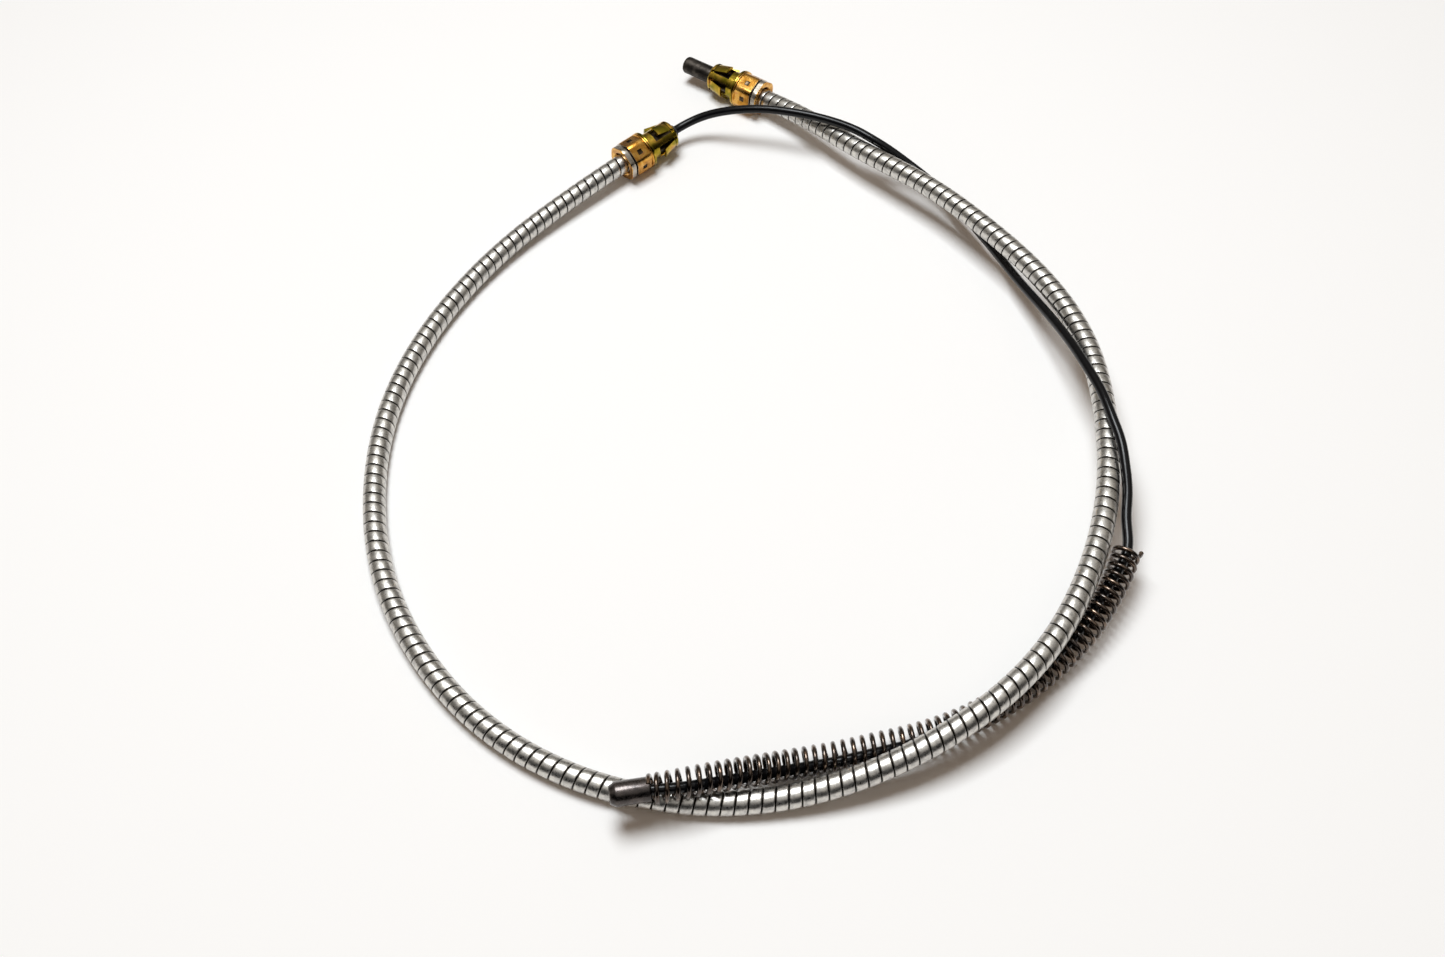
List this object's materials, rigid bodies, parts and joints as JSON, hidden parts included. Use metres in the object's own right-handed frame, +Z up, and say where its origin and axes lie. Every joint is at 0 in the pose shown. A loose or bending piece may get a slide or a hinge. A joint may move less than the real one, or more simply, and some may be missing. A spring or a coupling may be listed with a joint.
{
  "type": "parking brake cable",
  "caption": "Spiral steel conduit bent in a loop, with a snap-in fitting at each end, a coated cable running through it, a long compression spring, an end plug and a barrel.",
  "frame": {"origin": "centre of the base of the box round the conduit, its fittings and the barrel; the cable lies on Z = 0 as pictured", "axes": "+Z up from the floor, +X to the right and +Y away from the viewer in the picture"},
  "size_m": [0.3692, 0.4801, 0.0351],
  "materials": {
    "galvanised_steel": "galvanised strip, bright with fine scratches",
    "yellow_zinc": "yellow zinc dichromate plating with green and pink tints",
    "black_nylon": "glossy black coating over a steel strand",
    "spring_steel": "dark brown oil-tempered wire",
    "dark_steel": "dark phosphated steel",
    "bare_strand": "bare wire strand",
    "black_rubber": "matte black"
  },
  "bodies": {
    "casing": {"conduit": "galvanised_steel", "wheel_end_ferrule": "yellow_zinc", "wheel_end_clip": "yellow_zinc", "wheel_end_seal": "black_rubber", "frame_end_ferrule": "yellow_zinc", "frame_end_clip": "yellow_zinc", "frame_end_seal": "black_rubber", "cased_cable": "black_nylon", "free_cable": "black_nylon", "spring_cable": "black_nylon", "return_spring": "spring_steel"},
    "barrel": {"barrel_ferrule": "dark_steel", "barrel_strand": "bare_strand", "pull_cable": "black_nylon"},
    "plug": {"end_plug": "dark_steel", "plug_strand": "bare_strand"},
    "wheel_end_finger_1": {"wheel_end_finger_1": "yellow_zinc"},
    "wheel_end_finger_2": {"wheel_end_finger_2": "yellow_zinc"},
    "wheel_end_finger_3": {"wheel_end_finger_3": "yellow_zinc"},
    "wheel_end_finger_4": {"wheel_end_finger_4": "yellow_zinc"},
    "frame_end_finger_1": {"frame_end_finger_1": "yellow_zinc"},
    "frame_end_finger_2": {"frame_end_finger_2": "yellow_zinc"},
    "frame_end_finger_3": {"frame_end_finger_3": "yellow_zinc"},
    "frame_end_finger_4": {"frame_end_finger_4": "yellow_zinc"}
  },
  "joints": [
    {"name": "cable_pull", "type": "slide", "parent": "casing", "child": "barrel", "axis": [-0.7837, 0.6211, 0], "range_m": [0, 0.025]},
    {"name": "plug_draw", "type": "slide", "parent": "casing", "child": "plug", "axis": [0.9921, 0.1244, 0.0158], "range_m": [0, 0.025], "stiffness_N_per_m": 500, "deforming": ["return_spring", "spring_cable"]},
    {"name": "wheel_end_finger_1_bend", "type": "hinge", "parent": "casing", "child": "wheel_end_finger_1", "pos_m": [-0.02849, 0.17268, 0.01873], "axis": [0.6138, -0.78, -0.1218], "range_deg": [0, 16], "stiffness_Nm_per_rad": 0.02},
    {"name": "wheel_end_finger_2_bend", "type": "hinge", "parent": "casing", "child": "wheel_end_finger_2", "pos_m": [-0.02448, 0.16791, 0.01076], "axis": [-0.0532, 0.1131, -0.9922], "range_deg": [0, 16], "stiffness_Nm_per_rad": 0.02},
    {"name": "wheel_end_finger_3_bend", "type": "hinge", "parent": "casing", "child": "wheel_end_finger_3", "pos_m": [-0.02925, 0.1743, 0.00453], "axis": [-0.6138, 0.78, 0.1218], "range_deg": [0, 16], "stiffness_Nm_per_rad": 0.02},
    {"name": "wheel_end_finger_4_bend", "type": "hinge", "parent": "casing", "child": "wheel_end_finger_4", "pos_m": [-0.03326, 0.17907, 0.0125], "axis": [0.0532, -0.1131, 0.9922], "range_deg": [0, 16], "stiffness_Nm_per_rad": 0.02},
    {"name": "frame_end_finger_1_bend", "type": "hinge", "parent": "casing", "child": "frame_end_finger_1", "pos_m": [0.00336, 0.22278, 0.01795], "axis": [0.6208, 0.7832, -0.0349], "range_deg": [0, 16], "stiffness_Nm_per_rad": 0.02},
    {"name": "frame_end_finger_2_bend", "type": "hinge", "parent": "casing", "child": "frame_end_finger_2", "pos_m": [0.00764, 0.22819, 0.01055], "axis": [-0.0217, -0.0274, -0.9994], "range_deg": [0, 16], "stiffness_Nm_per_rad": 0.02},
    {"name": "frame_end_finger_3_bend", "type": "hinge", "parent": "casing", "child": "frame_end_finger_3", "pos_m": [0.00305, 0.22239, 0.00365], "axis": [-0.6208, -0.7832, 0.0349], "range_deg": [0, 16], "stiffness_Nm_per_rad": 0.02},
    {"name": "frame_end_finger_4_bend", "type": "hinge", "parent": "casing", "child": "frame_end_finger_4", "pos_m": [-0.00124, 0.21698, 0.01105], "axis": [0.0217, 0.0274, 0.9994], "range_deg": [0, 16], "stiffness_Nm_per_rad": 0.02}
  ],
  "couplings": [
    {"joint": "plug_draw", "follows": "cable_pull", "ratio": 1},
    {"joint": "wheel_end_finger_2_bend", "follows": "wheel_end_finger_1_bend", "ratio": 1},
    {"joint": "wheel_end_finger_3_bend", "follows": "wheel_end_finger_1_bend", "ratio": 1},
    {"joint": "wheel_end_finger_4_bend", "follows": "wheel_end_finger_1_bend", "ratio": 1},
    {"joint": "frame_end_finger_2_bend", "follows": "frame_end_finger_1_bend", "ratio": 1},
    {"joint": "frame_end_finger_3_bend", "follows": "frame_end_finger_1_bend", "ratio": 1},
    {"joint": "frame_end_finger_4_bend", "follows": "frame_end_finger_1_bend", "ratio": 1}
  ]
}
